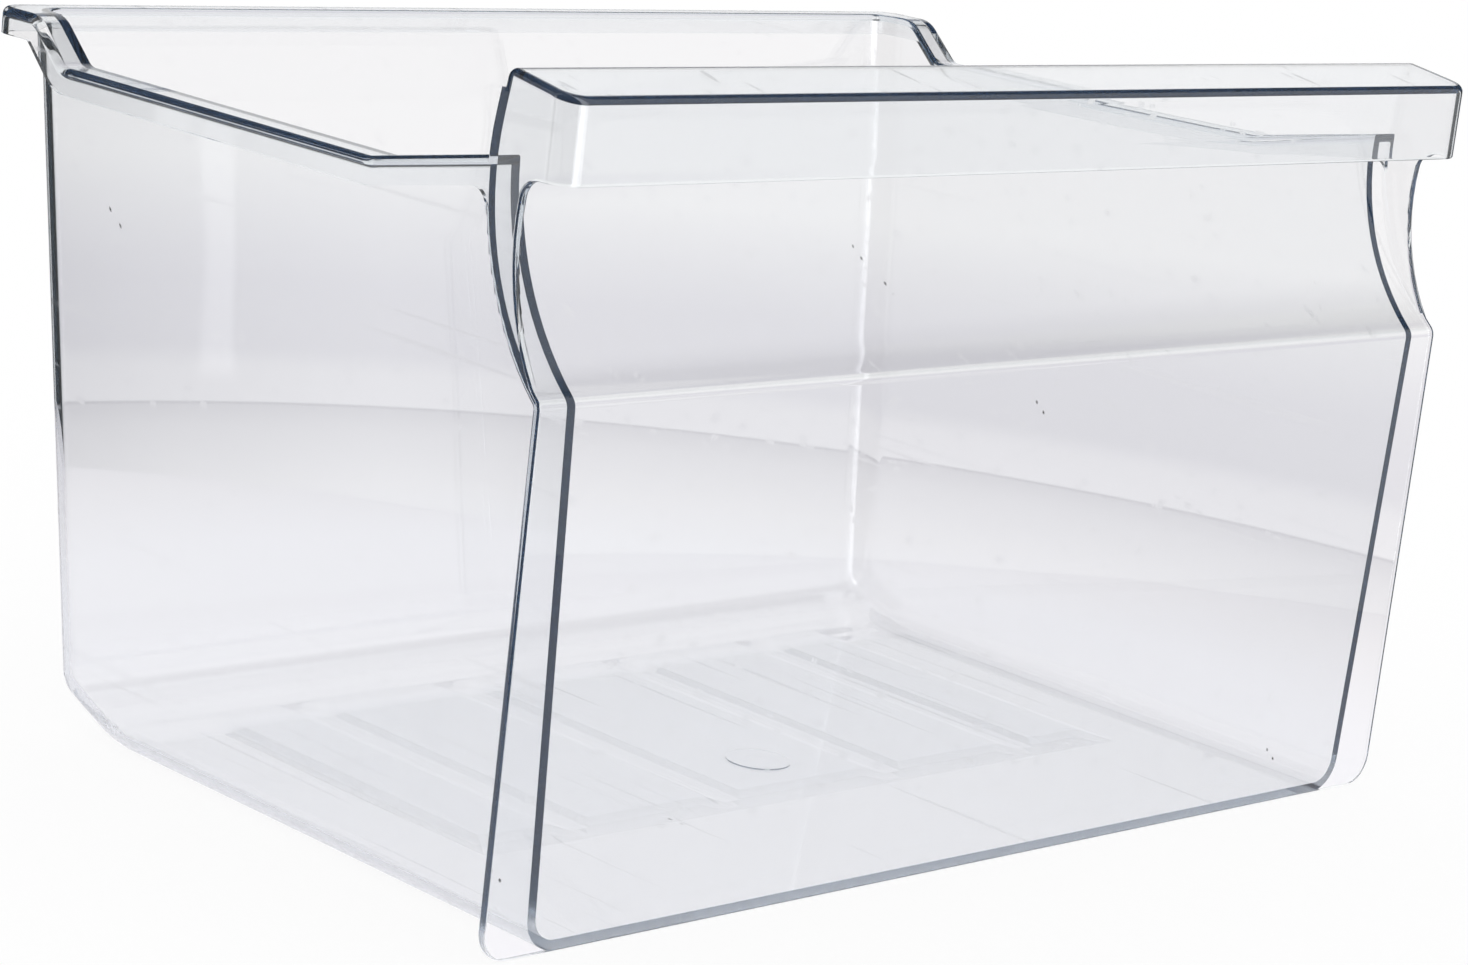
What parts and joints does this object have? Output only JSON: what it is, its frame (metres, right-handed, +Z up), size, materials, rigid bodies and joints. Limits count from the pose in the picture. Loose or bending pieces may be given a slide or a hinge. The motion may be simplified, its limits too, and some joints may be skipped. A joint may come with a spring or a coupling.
{
  "type": "freezer drawer",
  "caption": "Clear one-piece freezer drawer with a wide front panel, a hooked full-width handle, a channel rim that rides on liner ledges and low raised pads on the floor.",
  "frame": {"origin": "middle of the drawer's outline in plan, at the underside of the floor", "axes": "+X across the drawer to the right as the user sees it, +Y from the front panel to the back wall, +Z up"},
  "size_m": [0.45, 0.3006, 0.2755],
  "materials": {
    "clear_polystyrene": "clear, polished mould surface"
  },
  "bodies": {
    "root": {"drawer": "clear_polystyrene"}
  },
  "joints": []
}
